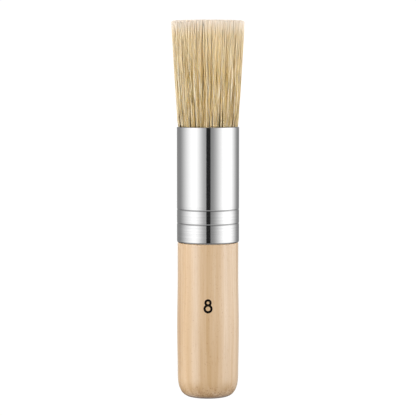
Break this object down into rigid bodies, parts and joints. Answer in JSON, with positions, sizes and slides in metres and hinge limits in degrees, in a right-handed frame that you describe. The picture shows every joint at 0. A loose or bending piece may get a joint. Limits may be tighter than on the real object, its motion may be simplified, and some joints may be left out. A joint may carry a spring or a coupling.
{
  "type": "round stencil brush",
  "caption": "Round stencil brush: a flat-cut flared head of pale bristle in a bright grooved ferrule on a short turned wooden handle with a rounded butt.",
  "frame": {"origin": "middle of the small flat on the handle's butt, where the brush stands", "axes": "+Z along the brush's axis from the butt to the bristle tips; the brush is round, so X and Y are free, and -Y faces the printed size number in the visual model"},
  "size_m": [0.0208, 0.0208, 0.1082],
  "materials": {
    "handle_wood": "pale close-grained hardwood, turned and sanded, clear satin lacquer",
    "ferrule_metal": "drawn tube, nickel-bright polish with very fine polishing lines round it",
    "bristle": "natural white hog bristle, cream to straw, cut flat and paler at the tips",
    "setting_resin": "amber setting compound, poured and cured",
    "thread": "waxed twisted cotton thread",
    "glue": "dried wood glue, dull yellow"
  },
  "bodies": {
    "root": {"handle": "handle_wood", "ferrule": "ferrule_metal", "bristle_bundle": "bristle", "root_resin": "setting_resin", "binding_thread": "thread", "handle_glue": "glue"}
  },
  "joints": []
}
